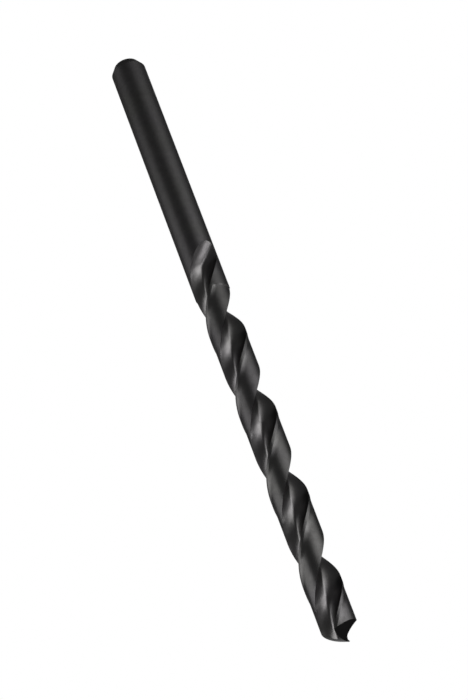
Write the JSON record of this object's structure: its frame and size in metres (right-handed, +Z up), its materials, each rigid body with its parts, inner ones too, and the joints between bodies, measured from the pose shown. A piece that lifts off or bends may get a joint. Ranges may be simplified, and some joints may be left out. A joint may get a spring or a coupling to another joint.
{
  "type": "twist drill bit",
  "caption": "Long straight-shank twist drill with right-hand helical flutes, a conical 118 degree point and a bevelled shank end, in black oxide.",
  "frame": {"origin": "on the surface the drill lies on, under the middle of its length", "axes": "+X along the drill's axis towards its point, +Z up"},
  "size_m": [0.175, 0.009, 0.009],
  "materials": {
    "black_oxide_steel": "satin black oxide over ground high-speed steel"
  },
  "bodies": {
    "root": {"drill_bit": "black_oxide_steel"}
  },
  "joints": []
}
